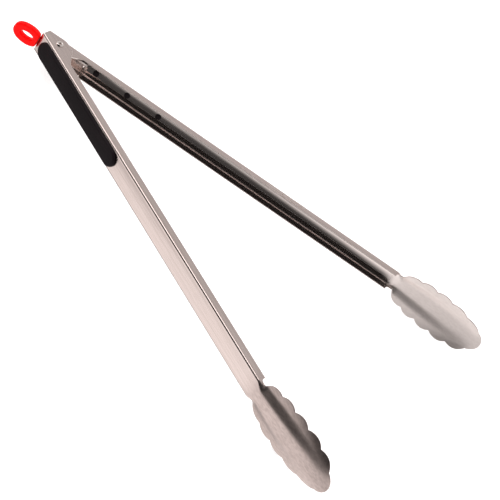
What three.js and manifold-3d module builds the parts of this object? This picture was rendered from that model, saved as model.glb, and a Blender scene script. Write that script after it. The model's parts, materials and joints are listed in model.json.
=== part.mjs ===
// Spring-loaded locking kitchen tongs, millimetres, +Z up.
// The tongs lie on their side: the hinge axis is vertical and the heads point along +X.
// Each arm is drawn flat in its own frame first: x runs from the pivot towards the head,
// y runs from the arm's back towards the other arm, z is the hinge axis.
import * as THREE from 'three';
import { mergeVertices } from 'three/addons/utils/BufferGeometryUtils.js';
import Module from 'manifold-3d';

const wasm = await Module();
wasm.setup();

// ---- overall sizes -------------------------------------------------------
const armReach = 443; // pivot to head tip
const headLength = 95.5; // head tip back to the end of the side flanges
const tailLength = 14; // web behind the pivot
const openAngle = THREE.MathUtils.degToRad(35.9); // between the arms when the spring is free

// ---- sheet metal arms ----------------------------------------------------
const sheet = 0.8;
const outerWidth = 20.5; // outside width of the outer arm
const armSideGap = 0.2; // between the outer and the inner arm's cheeks, each side
const pivotHeight = 9.7; // pivot axis above an arm's back face
const flangeDepth = 7.95; // back face to the flange's free edge
const bendRadius = 1.8; // outside radius of the channel's folds
const earFront = 23; // where the flange starts to widen into the ear
const earSlopeAngle = THREE.MathUtils.degToRad(35.6);
const outerEarInset = 0.7; // outer ear short of the inner arm's back face
const earWebGap = 0.9; // inner ear to the outer arm's web
const outerTailTip = new THREE.Vector2(-16.3, -1);
const innerTailTip = new THREE.Vector2(-15.2, -1.6);

// ---- scalloped heads -----------------------------------------------------
const headRise = 11.2; // how far the head's centre line climbs towards the other arm
const headRiseLength = 93; // the climb starts this far back from the tip
const dishDepth = 4.6;
const dishPower = 2.2;
const neckFlare = 0.75; // neck beyond the outer arm's side
const neckHalfWidth = outerWidth / 2 + neckFlare;
const neckLength = 10.5; // channel section turns into the dish over this length
const notchRadius = 3; // relief between the flange end and the first scallop
const notchDepth = 3.6; // side wall left at the relief
const scallopRise = 3; // bulge of each scallop beyond the line through its cusps
// cusps between the scallops: distance back from the tip, half width
const cusps = [
  new THREE.Vector2(88.5, neckHalfWidth),
  new THREE.Vector2(73.5, 17.3),
  new THREE.Vector2(58, 18.7),
  new THREE.Vector2(42, 19),
  new THREE.Vector2(25, 17.4),
  new THREE.Vector2(8, 10.8),
];

// ---- rivet, sleeve and spring --------------------------------------------
const rivetRadius = 2;
const rivetFit = 0.05; // radial clearance in the ears and in the sleeve
const rivetHeadOverhang = 1.2; // head beyond the shank
const rivetHeadHeight = 1.1;
const rivetTubeWall = 0.7;
const rivetBoreDepth = 8;
const sleeveWall = 0.55;
const endPlay = 0.05; // along the pivot axis
const springWire = 1.4;
const springFreeGap = 0.3; // coil to sleeve, and leg ends to the webs
const springTurns = 4;
const springTurnGap = 0.15;
const outerLegReach = 24;
const innerLegReach = 21;

// ---- lock slide, in the inner arm's frame --------------------------------
const lockStroke = 11;
const slideGap = 0.25; // slide to the inner arm's cheeks
const slideFloorGap = 0.3; // slide to the inner arm's web
const slideSheet = 0.8;
const slideRailDepth = 5.4;
const slideBendRadius = 1.5;
const slideTail = -9;
const slideEarTop = 1.6;
const slideEarRise = 2.2; // ear above the rail at its rear corner
const slideEarSlope = 4.5; // level top of the ear starts this far behind the studs
const slideStopGap = 0.2; // ear to sleeve when the slide is pulled out
const slideNoseReach = 2.5; // nose past the studs
const studReach = 26; // pivot to the lock studs, slide pushed in
const studRadius = 1.2;
const studFit = 0.05;
const studHeadRadius = 1.8;
const studHeadHeight = 0.6;
const studNoseReach = 0.5; // stud nose past the hook it holds
const studNoseChamfer = 0.3;

// ---- catch on the outer arm ----------------------------------------------
const catchSheet = 0.8;
const catchSideGap = 1.2; // hooks to the slide's ears
const catchGap = 0.3; // catch plate to the web
const catchFootLength = 9; // foot, ending under the locked stud
const catchStemBack = 5.5; // locked stud back to the stem's rear edge
const catchStemClearance = 1; // stem to stud when locked
const catchFingerGap = 0.55; // finger above the locked stud
const catchFingerHeight = 1.6;
const catchFingerReach = 3.5; // finger past the locked stud's centre
const catchFingerChamfer = 0.5;

// ---- pull loop, in the inner arm's frame ---------------------------------
const loopTailGap = 1; // outer arm's tail to the loop's base
const loopLength = 23.7;
const loopWidestPlace = 9.7; // from the base
const loopBaseHalfWidth = 6.2;
const loopHalfWidth = 9.2;
const loopShoulder = 4; // pull of the curve from the base to the widest place
const loopTipPull = 5; // pull of the curve round the tip
const loopTipFullness = 0.62;
const loopThickness = 6;
const loopEdgeRadius = 1.8;
const loopOffset = -0.4; // middle of the loop's thickness, from the pivot axis
const loopHoleStart = 4.2; // from the base
const loopHoleLength = 12;
const loopHoleHalfWidth = 2.6;
const tongueHalfWidth = 4.5;
const tongueHeight = -1.9; // middle of the tongue, from the pivot axis
const tongueEngagement = 2.8; // tongue inside the loop
const tongueGap = 0.3;
const tongueCrank = 4.5; // length of the slope from the slide's floor to the tongue
const tongueRoot = 3; // tongue's overlap with the slide's floor
const tongueBend = 0.4; // lower face's fold behind the slide's tail
const tongueLead = 0.6; // slope's upper face ahead of its lower face

// ---- grips ---------------------------------------------------------------
const gripStart = -9.5;
const gripEnd = 124.5;
const gripMargin = 1.9; // grip edge to the arm's side
const gripThickness = 2.8;
const gripEdgeRadius = 1.2;
const gripGap = 0.3; // grip to the web and its studs to their holes
const gripStudClearance = 9.5; // slide's nose to the first grip stud's axis
const gripStudSpacing = 32;
const gripStudCount = 3;
const gripStudRadius = 1.8;
const gripStudHeadRadius = 3;
const gripStudHeadHeight = 1.2;

// ---- fineness of the curves ----------------------------------------------
const webSteps = 2;
const foldSteps = 4;
const wallSteps = 2;
const scallopSteps = 5;
const roundSteps = 28;

// ---- worked out from the sizes above -------------------------------------
const channelReach = armReach - headLength;
const innerWidth = outerWidth - 2 * (sheet + armSideGap);
const outerEarRadius = pivotHeight - outerEarInset;
const innerEarRadius = pivotHeight - sheet - earWebGap;
const webInside = -pivotHeight + sheet;
const flangeEdge = -pivotHeight + flangeDepth;
const slideHalfWidth = innerWidth / 2 - sheet - slideGap;
const slideFloor = webInside + slideFloorGap;
const slideNose = studReach + slideNoseReach;
const rivetHeadRadius = rivetRadius + rivetHeadOverhang;
const rivetBoreRadius = rivetRadius - rivetTubeWall;
const sleeveRadius = rivetRadius + rivetFit + sleeveWall;
const springRadius = sleeveRadius + springFreeGap + springWire / 2;
const springPitch = springWire + springTurnGap;
const lockedStud = studReach - lockStroke;
const catchHalfWidth = slideHalfWidth - slideSheet - catchSideGap;
const studLength = slideSheet + catchSideGap + catchSheet + studNoseReach;
const loopBase = outerTailTip.x - loopTailGap;
const gripStudPlaces = [];
for (let i = 0; i < gripStudCount; i += 1) {
  gripStudPlaces.push(slideNose + gripStudClearance + i * gripStudSpacing);
}

// ---- helpers ---------------------------------------------------------------
function toSolid(geometry) {
  const bare = geometry.clone();
  bare.deleteAttribute('normal');
  bare.deleteAttribute('uv');
  const welded = mergeVertices(bare, 1e-4);
  const vertProperties = new Float32Array(welded.attributes.position.array);
  const triVerts = new Uint32Array(welded.index.array);
  return new wasm.Manifold(new wasm.Mesh({ numProp: 3, vertProperties, triVerts }));
}

function toGeometry(solid) {
  const mesh = solid.getMesh();
  const geometry = new THREE.BufferGeometry();
  geometry.setAttribute('position', new THREE.BufferAttribute(mesh.vertProperties, 3));
  geometry.setIndex(new THREE.BufferAttribute(mesh.triVerts, 1));
  geometry.computeVertexNormals();
  return geometry;
}

// A plate whose outline lies in the x-y plane, from height `low` up.
function plate(outline, low, thickness) {
  const settings = { depth: thickness, bevelEnabled: false, curveSegments: roundSteps / 2 };
  return toSolid(new THREE.ExtrudeGeometry(outline, settings).translate(0, 0, low));
}

function polygon(corners) {
  return new THREE.Shape(corners.map(([x, y]) => new THREE.Vector2(x, y)));
}

function block(x0, x1, y0, y1, z0, z1) {
  const box = new THREE.BoxGeometry(x1 - x0, y1 - y0, z1 - z0);
  return toSolid(box.translate((x0 + x1) / 2, (y0 + y1) / 2, (z0 + z1) / 2));
}

// A round bar along z.
function barZ(radius, x, y, z0, z1, steps = roundSteps) {
  const bar = new THREE.CylinderGeometry(radius, radius, z1 - z0, steps);
  return toSolid(bar.rotateX(Math.PI / 2).translate(x, y, (z0 + z1) / 2));
}

// A turned piece whose profile is [radius, height] and whose axis is z.
function turned(profile, steps = roundSteps) {
  const points = profile.map(([radius, height]) => new THREE.Vector2(radius, height));
  return new THREE.LatheGeometry(points, steps).rotateX(Math.PI / 2);
}

// The same plate on both sides of the mid-plane.
function platePair(outline, inside, thickness) {
  return plate(outline, inside, thickness).add(plate(outline, -inside - thickness, thickness));
}

function named(name, geometry, colour, roughness, metalness) {
  const material = new THREE.MeshStandardMaterial({ color: colour, roughness, metalness });
  const mesh = new THREE.Mesh(geometry, material);
  mesh.name = name;
  return mesh;
}

// ---- formed sheet: a row of cross sections skinned into one closed solid ---
// Each section has the same number of points across on its back and inside faces.
function skin(sections) {
  const across = sections[0].back.length;
  const ring = 2 * across;
  const positions = [];
  for (const section of sections) {
    for (const point of section.back) positions.push(section.x, point.y, point.x);
    for (const point of [...section.inside].reverse()) positions.push(section.x, point.y, point.x);
  }
  const index = [];
  for (let row = 0; row < sections.length - 1; row += 1) {
    for (let j = 0; j < ring; j += 1) {
      const a = row * ring + j;
      const b = row * ring + ((j + 1) % ring);
      index.push(a, a + ring, b, b, a + ring, b + ring);
    }
  }
  const last = (sections.length - 1) * ring;
  for (let j = 0; j < across - 1; j += 1) {
    const k = ring - 1 - j;
    index.push(j, j + 1, k, j + 1, k - 1, k);
    index.push(last + j, last + k, last + j + 1, last + j + 1, last + k, last + k - 1);
  }
  const geometry = new THREE.BufferGeometry();
  geometry.setAttribute('position', new THREE.Float32BufferAttribute(positions, 3));
  geometry.setIndex(index);
  return geometry;
}

// Back face of a folded channel: half of it, from the middle of the web to the flange edge.
// Every entry is [z, y, outward normal angle from the web's normal].
function channelHalf(halfWidth, depth, foldRadius, base) {
  const half = [];
  const flat = halfWidth - foldRadius;
  for (let i = 0; i < webSteps; i += 1) half.push([(flat * i) / webSteps, base, 0]);
  for (let i = 0; i <= foldSteps; i += 1) {
    const turn = ((Math.PI / 2) * i) / foldSteps;
    half.push([flat + foldRadius * Math.sin(turn), base + foldRadius * (1 - Math.cos(turn)), turn]);
  }
  const wall = depth - foldRadius;
  for (let i = 1; i <= wallSteps; i += 1) {
    half.push([halfWidth, base + foldRadius + (wall * i) / wallSteps, Math.PI / 2]);
  }
  return half;
}

function sectionFromHalf(x, half, thickness) {
  const back = half.map(([z, y]) => new THREE.Vector2(z, y));
  const inside = half.map(([z, y, turn]) => (
    new THREE.Vector2(z - thickness * Math.sin(turn), y + thickness * Math.cos(turn))
  ));
  const mirrored = (points) => points.slice(1).reverse().map((p) => new THREE.Vector2(-p.x, p.y));
  return { x, back: [...mirrored(back), ...back], inside: [...mirrored(inside), ...inside] };
}

function channelSection(x, halfWidth, depth, foldRadius = bendRadius) {
  return sectionFromHalf(x, channelHalf(halfWidth, depth, foldRadius, -pivotHeight), sheet);
}

// Half width of the smooth line through the cusps.
function cuspLine(x) {
  const back = armReach - x;
  const tip = cusps[cusps.length - 1];
  if (back <= tip.x) return tip.y;
  for (let i = 0; i < cusps.length - 1; i += 1) {
    const far = cusps[i];
    const near = cusps[i + 1];
    if (back <= far.x && back >= near.x) {
      const dishStart = i === 0 ? near.y - 2.5 : far.y;
      return THREE.MathUtils.mapLinear(back, far.x, near.x, dishStart, near.y);
    }
  }
  return cusps[1].y - 2.5;
}

function headCentre(x) {
  const climb = Math.max(0, x - armReach + headRiseLength) / headRiseLength;
  return -pivotHeight + headRise * climb * climb;
}

function dishSection(x, halfWidth) {
  const along = (x - channelReach) / (armReach - channelReach);
  const depth = dishDepth * (1 - along ** 6);
  const reach = cuspLine(x);
  const steps = webSteps + foldSteps + wallSteps;
  const half = [];
  for (let i = 0; i <= steps; i += 1) {
    const z = (halfWidth * i) / steps;
    const share = z / reach;
    const slope = ((depth * dishPower) / reach) * share ** (dishPower - 1);
    half.push([z, headCentre(x) + depth * share ** dishPower, Math.atan(slope)]);
  }
  return sectionFromHalf(x, half, sheet);
}

function mixSections(x, from, to, share) {
  const mix = (one, two) => one.map((p, i) => p.clone().lerp(two[i], share));
  return { x, back: mix(from.back, to.back), inside: mix(from.inside, to.inside) };
}

// Points along the head's scalloped edge, as [x, half width].
function scallopedEdge() {
  const edge = [];
  for (let i = 0; i < cusps.length - 1; i += 1) {
    const start = new THREE.Vector2(armReach - cusps[i].x, cusps[i].y);
    const end = new THREE.Vector2(armReach - cusps[i + 1].x, cusps[i + 1].y);
    const chord = end.clone().sub(start);
    const radius = (chord.length() ** 2 / 4 + scallopRise ** 2) / (2 * scallopRise);
    const spread = Math.asin(chord.length() / 2 / radius);
    const outward = new THREE.Vector2(-chord.y, chord.x).normalize();
    const centre = start.clone().add(end).multiplyScalar(0.5);
    centre.addScaledVector(outward, scallopRise - radius);
    for (let k = 0; k < scallopSteps; k += 1) {
      const turn = THREE.MathUtils.lerp(spread, -spread, k / scallopSteps);
      const spoke = outward.clone().rotateAround(new THREE.Vector2(), turn);
      edge.push([centre.x + radius * spoke.x, centre.y + radius * spoke.y]);
    }
  }
  const tip = cusps[cusps.length - 1];
  const tipRadius = (tip.x ** 2 + tip.y ** 2) / (2 * tip.x);
  const sweep = Math.asin(tip.y / tipRadius);
  const lastSweep = 0.1;
  for (let k = 0; k <= scallopSteps; k += 1) {
    const turn = THREE.MathUtils.lerp(sweep, lastSweep, k / scallopSteps);
    edge.push([armReach - tipRadius + tipRadius * Math.cos(turn), tipRadius * Math.sin(turn)]);
  }
  return edge;
}

function armSheet(width) {
  const halfWidth = width / 2;
  const sections = [
    channelSection(-tailLength, halfWidth, flangeDepth),
    channelSection(channelReach, halfWidth, flangeDepth),
  ];
  const notchSteps = 4;
  const neckStart = armReach - cusps[0].x;
  for (let i = 1; i <= notchSteps; i += 1) {
    const share = i / notchSteps;
    const x = channelReach + notchRadius * (1 - Math.cos((Math.PI / 2) * share));
    const depth = flangeDepth - (flangeDepth - notchDepth) * Math.sin((Math.PI / 2) * share);
    sections.push(neckSection(x, halfWidth, depth, halfWidth));
  }
  const neckGap = neckStart - channelReach - notchRadius;
  sections.push(neckSection(channelReach + notchRadius + neckGap / 2, halfWidth, notchDepth, halfWidth));
  for (const [x, edgeWidth] of scallopedEdge()) {
    sections.push(neckSection(x, halfWidth, notchDepth, edgeWidth));
  }
  return skin(sections);
}

function neckSection(x, halfWidth, depth, edgeWidth) {
  const share = THREE.MathUtils.smoothstep(x, channelReach, channelReach + neckLength);
  return mixSections(x, channelSection(x, halfWidth, depth), dishSection(x, edgeWidth), share);
}

// Cheek plate: flange and ear round the pivot, in the x-y plane.
function cheekOutline(earRadius, tailTip) {
  const foldTop = -pivotHeight + bendRadius;
  const outline = new THREE.Shape();
  outline.moveTo(earFront, foldTop);
  outline.lineTo(earFront, flangeEdge);
  outline.lineTo(earFront - (earRadius - flangeEdge) / Math.tan(earSlopeAngle), earRadius);
  outline.lineTo(0, earRadius);
  const toTip = Math.atan2(tailTip.y, tailTip.x) + 2 * Math.PI;
  const tangent = toTip - Math.acos(earRadius / tailTip.length());
  outline.absarc(0, 0, earRadius, Math.PI / 2, tangent, false);
  outline.lineTo(tailTip.x, tailTip.y);
  outline.lineTo(-tailLength, foldTop);
  return outline;
}

function armBody(width, earRadius, tailTip) {
  const cheek = width / 2 - sheet;
  let body = toSolid(armSheet(width));
  body = body.add(platePair(cheekOutline(earRadius, tailTip), cheek, sheet));
  body = body.subtract(barZ(rivetRadius + rivetFit, 0, 0, -width, width));
  for (const place of gripStudPlaces) {
    body = body.subtract(gripStudBar(place, gripStudRadius + gripGap, -pivotHeight - 1, webInside + 1));
  }
  return toGeometry(body);
}

// ---- grips: a pad on the arm's back, snapped in by three studs --------------
function gripStudBar(place, radius, y0, y1) {
  const bar = new THREE.CylinderGeometry(radius, radius, y1 - y0, 16);
  return toSolid(bar.translate(place, (y0 + y1) / 2, 0));
}

function gripPad(width) {
  const radius = width / 2 - gripMargin - gripEdgeRadius;
  const outline = new THREE.Shape();
  outline.absarc(gripEnd - gripEdgeRadius - radius, 0, radius, -Math.PI / 2, Math.PI / 2, false);
  outline.absarc(gripStart + gripEdgeRadius + radius, 0, radius, Math.PI / 2, (3 * Math.PI) / 2, false);
  const pad = new THREE.ExtrudeGeometry(outline, {
    depth: gripThickness - 2 * gripEdgeRadius,
    bevelThickness: gripEdgeRadius,
    bevelSize: gripEdgeRadius,
    bevelSegments: 3,
    curveSegments: 12,
  });
  pad.translate(0, 0, gripEdgeRadius).rotateX(Math.PI / 2).translate(0, -pivotHeight - gripGap, 0);
  let body = toSolid(pad);
  const headStart = webInside + gripGap;
  for (const place of gripStudPlaces) {
    const root = -pivotHeight - gripGap - gripEdgeRadius;
    body = body.add(gripStudBar(place, gripStudRadius, root, headStart + 0.1));
    body = body.add(gripStudBar(place, gripStudHeadRadius, headStart, headStart + gripStudHeadHeight));
  }
  return toGeometry(body);
}

// ---- pivot -------------------------------------------------------------------
// Semi-tubular rivet: domed head below, clinched rim and open bore above.
function pivotRivet() {
  const seat = outerWidth / 2 + endPlay;
  const top = seat + rivetHeadHeight;
  return turned([
    [0, -seat - rivetHeadHeight],
    [rivetHeadRadius * 0.55, -seat - rivetHeadHeight * 0.92],
    [rivetHeadRadius * 0.88, -seat - rivetHeadHeight * 0.6],
    [rivetHeadRadius, -seat - rivetHeadHeight * 0.2],
    [rivetHeadRadius, -seat],
    [rivetRadius, -seat],
    [rivetRadius, seat],
    [rivetHeadRadius, seat],
    [rivetHeadRadius, seat + rivetHeadHeight * 0.35],
    [rivetHeadRadius * 0.86, seat + rivetHeadHeight * 0.8],
    [rivetHeadRadius * 0.7, top],
    [rivetHeadRadius * 0.52, seat + rivetHeadHeight * 0.8],
    [rivetBoreRadius, seat + rivetHeadHeight * 0.2],
    [rivetBoreRadius, top - rivetBoreDepth],
    [0, top - rivetBoreDepth],
  ]);
}

function spacerSleeve() {
  const half = innerWidth / 2 - sheet - endPlay;
  const bore = rivetRadius + rivetFit;
  return turned([[bore, -half], [sleeveRadius, -half], [sleeveRadius, half], [bore, half], [bore, -half]]);
}

// Torsion spring: a leg along the outer arm's web, the coil, a leg along the inner arm's web.
class SpringLine extends THREE.Curve {
  constructor() {
    super();
    const half = openAngle / 2;
    const lowEnd = new THREE.Vector2(outerLegReach, webInside + springFreeGap + springWire / 2);
    const highHeight = -slideFloor - slideSheet - springFreeGap - springWire / 2;
    const highEnd = new THREE.Vector2(innerLegReach, highHeight);
    this.start = lowEnd.rotateAround(new THREE.Vector2(), -half);
    this.end = highEnd.rotateAround(new THREE.Vector2(), half);
    const reachIn = Math.acos(springRadius / this.start.length());
    const reachOut = Math.acos(springRadius / this.end.length());
    this.angleIn = this.start.angle() - 2 * Math.PI - reachIn;
    this.angleOut = this.end.angle() + reachOut - 2 * Math.PI * (springTurns + 1);
    this.legIn = springRadius * Math.tan(reachIn);
    this.legOut = springRadius * Math.tan(reachOut);
    this.coil = springRadius * (this.angleIn - this.angleOut);
    this.rise = (springPitch * (this.angleIn - this.angleOut)) / (2 * Math.PI);
  }

  getPoint(share, target = new THREE.Vector3()) {
    const walked = share * (this.legIn + this.coil + this.legOut);
    if (walked < this.legIn) {
      const touch = this.onCoil(this.angleIn);
      const leg = new THREE.Vector3(this.start.x, this.start.y, touch.z);
      return target.copy(leg.lerp(touch, walked / this.legIn));
    }
    if (walked < this.legIn + this.coil) {
      return target.copy(this.onCoil(this.angleIn - (walked - this.legIn) / springRadius));
    }
    const touch = this.onCoil(this.angleOut);
    const tip = new THREE.Vector3(this.end.x, this.end.y, touch.z);
    return target.copy(touch.lerp(tip, (walked - this.legIn - this.coil) / this.legOut));
  }

  onCoil(angle) {
    const share = (this.angleIn - angle) / (this.angleIn - this.angleOut);
    const x = springRadius * Math.cos(angle);
    const y = springRadius * Math.sin(angle);
    return new THREE.Vector3(x, y, (share - 0.5) * this.rise);
  }
}

function torsionSpring() {
  const wire = new THREE.Shape();
  const sides = 8;
  for (let i = 0; i < sides; i += 1) {
    const turn = (2 * Math.PI * i) / sides;
    const x = (springWire / 2) * Math.cos(turn);
    const y = (springWire / 2) * Math.sin(turn);
    if (i === 0) wire.moveTo(x, y);
    else wire.lineTo(x, y);
  }
  return new THREE.ExtrudeGeometry(wire, { steps: 96, extrudePath: new SpringLine() });
}

// ---- lock ----------------------------------------------------------------------
// Folded slide that runs along the inner arm's web, under the sleeve.
function lockSlide() {
  const half = channelHalf(slideHalfWidth, slideRailDepth, slideBendRadius, slideFloor);
  const ends = [slideTail, slideNose].map((x) => sectionFromHalf(x, half, slideSheet));
  const railTop = slideFloor + slideRailDepth;
  const earBottom = slideFloor + slideBendRadius;
  const stop = lockStroke + sleeveRadius + slideStopGap;
  const ear = polygon([
    [stop, earBottom],
    [slideNose, earBottom],
    [slideNose, slideEarTop],
    [studReach - slideEarSlope, slideEarTop],
    [stop, railTop + slideEarRise],
  ]);
  const under = slideFloor;
  const over = slideFloor + slideSheet;
  const tongueLow = tongueHeight - slideSheet / 2;
  const tongueHigh = tongueHeight + slideSheet / 2;
  const crankTop = slideTail - tongueCrank;
  const tongueEnd = loopBase - tongueEngagement;
  const tongue = polygon([
    [slideTail + tongueRoot, under],
    [slideTail + tongueRoot, over],
    [slideTail + tongueLead - tongueBend, over],
    [crankTop + tongueLead, tongueHigh],
    [tongueEnd, tongueHigh],
    [tongueEnd, tongueLow],
    [crankTop, tongueLow],
    [slideTail - tongueBend, under],
  ]);
  let body = toSolid(skin(ends));
  body = body.add(platePair(ear, slideHalfWidth - slideSheet, slideSheet));
  body = body.add(plate(tongue, -tongueHalfWidth, 2 * tongueHalfWidth));
  body = body.subtract(barZ(studRadius + studFit, studReach, 0, -innerWidth, innerWidth));
  return toGeometry(body);
}

// Stud riveted in the slide's ear; its nose points to the middle and hooks under the catch.
function lockStud() {
  const face = slideHalfWidth;
  const shoulder = slideHalfWidth - slideSheet - endPlay;
  return turned([
    [0, face - studLength],
    [studRadius * 0.8, face - studLength],
    [studRadius, face - studLength + studNoseChamfer],
    [studRadius, shoulder - studHeadHeight],
    [studHeadRadius, shoulder - studHeadHeight],
    [studHeadRadius, shoulder],
    [studRadius, shoulder],
    [studRadius, face],
    [0, face],
  ], 16);
}

// Two-hook catch on the outer arm's web.
function lockCatch() {
  const foot = webInside + catchGap;
  const fingerLow = studRadius + catchFingerGap;
  const fingerHigh = fingerLow + catchFingerHeight;
  const stemStart = lockedStud - catchStemBack;
  const stemEnd = lockedStud - studRadius - catchStemClearance;
  const fingerEnd = lockedStud + catchFingerReach;
  const hook = polygon([
    [stemStart, foot],
    [stemEnd, foot],
    [stemEnd, fingerLow],
    [fingerEnd, fingerLow],
    [fingerEnd, fingerHigh - catchFingerChamfer],
    [fingerEnd - catchFingerChamfer, fingerHigh],
    [stemStart, fingerHigh],
  ]);
  const footStart = lockedStud - catchFootLength;
  let body = block(footStart, lockedStud, foot, foot + catchSheet, -catchHalfWidth, catchHalfWidth);
  body = body.add(platePair(hook, catchHalfWidth - catchSheet, catchSheet));
  return toGeometry(body);
}

// D-shaped pull loop, moulded over the slide's tongue.
function pullLoop() {
  const inset = loopEdgeRadius;
  const outline = new THREE.Shape();
  const base = loopBase - inset;
  const wide = loopHalfWidth - inset;
  const baseWide = loopBaseHalfWidth - inset;
  const tip = loopBase - loopLength + inset;
  const widest = loopBase - loopWidestPlace;
  const full = wide * loopTipFullness;
  outline.moveTo(base, baseWide);
  outline.quadraticCurveTo(base - loopShoulder, wide, widest, wide);
  outline.bezierCurveTo(tip + loopTipPull, wide, tip, full, tip, 0);
  outline.bezierCurveTo(tip, -full, tip + loopTipPull, -wide, widest, -wide);
  outline.quadraticCurveTo(base - loopShoulder, -wide, base, -baseWide);
  const hole = new THREE.Path();
  const middle = loopBase - loopHoleStart - loopHoleLength / 2;
  const halfLength = loopHoleLength / 2 + inset;
  hole.absellipse(middle, 0, halfLength, loopHoleHalfWidth + inset, 0, 2 * Math.PI, true);
  outline.holes.push(hole);
  const ring = new THREE.ExtrudeGeometry(outline, {
    depth: loopThickness - 2 * inset,
    bevelThickness: inset,
    bevelSize: inset,
    bevelSegments: 3,
    curveSegments: 8,
  });
  ring.translate(0, 0, inset - loopThickness / 2).rotateX(Math.PI / 2).translate(0, loopOffset, 0);
  const low = tongueHeight - slideSheet / 2 - tongueGap;
  const high = tongueHeight + slideSheet / 2 + tongueGap;
  const deep = loopBase - tongueEngagement - tongueGap;
  const side = tongueHalfWidth + tongueGap;
  const pocket = block(deep, loopBase + 1, low, high, -side, side);
  return toGeometry(toSolid(ring).subtract(pocket));
}

// ---- assembly --------------------------------------------------------------------
const steel = 0xb9b1ae;
const brightSteel = 0xc9c4c0;
const black = 0x1f171b;
const red = 0xe60a0a;

const outerSide = new THREE.Group();
outerSide.rotation.z = -openAngle / 2;
outerSide.add(named('outer_arm', armBody(outerWidth, outerEarRadius, outerTailTip), steel, 0.32, 1));
outerSide.add(named('outer_grip', gripPad(outerWidth), black, 0.6, 0));
outerSide.add(named('lock_catch', lockCatch(), brightSteel, 0.35, 1));

// The inner arm is the same way up as the outer one, turned over about its own length.
const innerSide = new THREE.Group();
const innerTurned = new THREE.Group();
innerSide.rotation.z = openAngle / 2;
innerTurned.rotation.x = Math.PI;
innerSide.add(innerTurned);
innerTurned.add(named('inner_arm', armBody(innerWidth, innerEarRadius, innerTailTip), steel, 0.32, 1));
innerTurned.add(named('inner_grip', gripPad(innerWidth), black, 0.6, 0));
innerTurned.add(named('lock_slide', lockSlide(), brightSteel, 0.35, 1));
innerTurned.add(named('pull_loop', pullLoop(), red, 0.35, 0));
for (const [name, turn] of [['lower_lock_stud', 0], ['upper_lock_stud', Math.PI]]) {
  const stud = named(name, lockStud(), brightSteel, 0.3, 1);
  stud.rotation.x = turn;
  stud.position.x = studReach;
  innerTurned.add(stud);
}

const pivot = new THREE.Group();
pivot.add(named('pivot_rivet', pivotRivet(), brightSteel, 0.25, 1));
pivot.add(named('spacer_sleeve', spacerSleeve(), brightSteel, 0.4, 1));
pivot.add(named('torsion_spring', torsionSpring(), brightSteel, 0.3, 1));

// Origin: on the surface the tongs lie on, under the middle of their bounding box.
const tongs = new THREE.Group();
tongs.add(outerSide, innerSide, pivot);
tongs.updateMatrixWorld(true);
const bounds = new THREE.Box3().setFromObject(tongs, true);
const centre = bounds.getCenter(new THREE.Vector3());
tongs.position.set(-centre.x, -centre.y, -bounds.min.z);
tongs.updateMatrixWorld(true);

export default tongs;
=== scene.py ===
import json
import math

import bmesh
import bpy
import numpy as np
from mathutils import Matrix, Vector


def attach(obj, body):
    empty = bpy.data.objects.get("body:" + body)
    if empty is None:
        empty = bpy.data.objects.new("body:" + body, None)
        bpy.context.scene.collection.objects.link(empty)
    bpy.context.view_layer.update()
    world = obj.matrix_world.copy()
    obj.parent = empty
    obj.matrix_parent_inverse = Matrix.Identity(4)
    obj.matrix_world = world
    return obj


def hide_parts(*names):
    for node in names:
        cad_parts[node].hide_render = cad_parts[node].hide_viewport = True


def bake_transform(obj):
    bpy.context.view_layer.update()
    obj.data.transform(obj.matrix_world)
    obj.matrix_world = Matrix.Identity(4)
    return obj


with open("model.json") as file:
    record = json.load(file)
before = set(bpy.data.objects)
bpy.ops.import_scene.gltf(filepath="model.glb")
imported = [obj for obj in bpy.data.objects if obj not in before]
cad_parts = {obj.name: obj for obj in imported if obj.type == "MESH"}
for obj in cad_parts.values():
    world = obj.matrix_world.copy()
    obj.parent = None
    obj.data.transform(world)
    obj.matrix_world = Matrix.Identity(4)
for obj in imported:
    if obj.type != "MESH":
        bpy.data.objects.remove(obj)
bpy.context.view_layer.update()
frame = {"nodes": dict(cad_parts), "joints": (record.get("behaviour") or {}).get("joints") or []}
mm = 0.001
print("frame loaded:", ", ".join(sorted(frame["nodes"])))


def addToScene(thing):
    bpy.context.scene.collection.objects.link(thing)


camera = {
    "place": (0.24975, -0.98066, 0.78878),
    "turn": (45.7642, -29.3887, 37.2640),  # degrees
    "lens": 110.753,
    "nearest": 0.05,
    "farthest": 20,
}


def makeCamera(values):
    lens = bpy.data.cameras.new("camera")
    lens.lens = values["lens"]
    lens.clip_start = values["nearest"]
    lens.clip_end = values["farthest"]
    eye = bpy.data.objects.new("camera", lens)
    eye.location = values["place"]
    eye.rotation_euler = [math.radians(angle) for angle in values["turn"]]
    addToScene(eye)
    bpy.context.scene.camera = eye


makeCamera(camera)
print("camera placed")


# one output socket, so that shader maths reads as plain expressions
class Signal:
    def __init__(self, board, socket):
        self.board = board
        self.socket = socket

    def maths(self, operation, first, second):
        return self.board.node("ShaderNodeMath", {"operation": operation}, {0: first, 1: second})

    def __add__(self, other):
        return self.maths("ADD", self, other)

    def __radd__(self, other):
        return self.maths("ADD", other, self)

    def __rsub__(self, other):
        return self.maths("SUBTRACT", other, self)

    def __mul__(self, other):
        return self.maths("MULTIPLY", self, other)

    def __rmul__(self, other):
        return self.maths("MULTIPLY", other, self)


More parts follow.
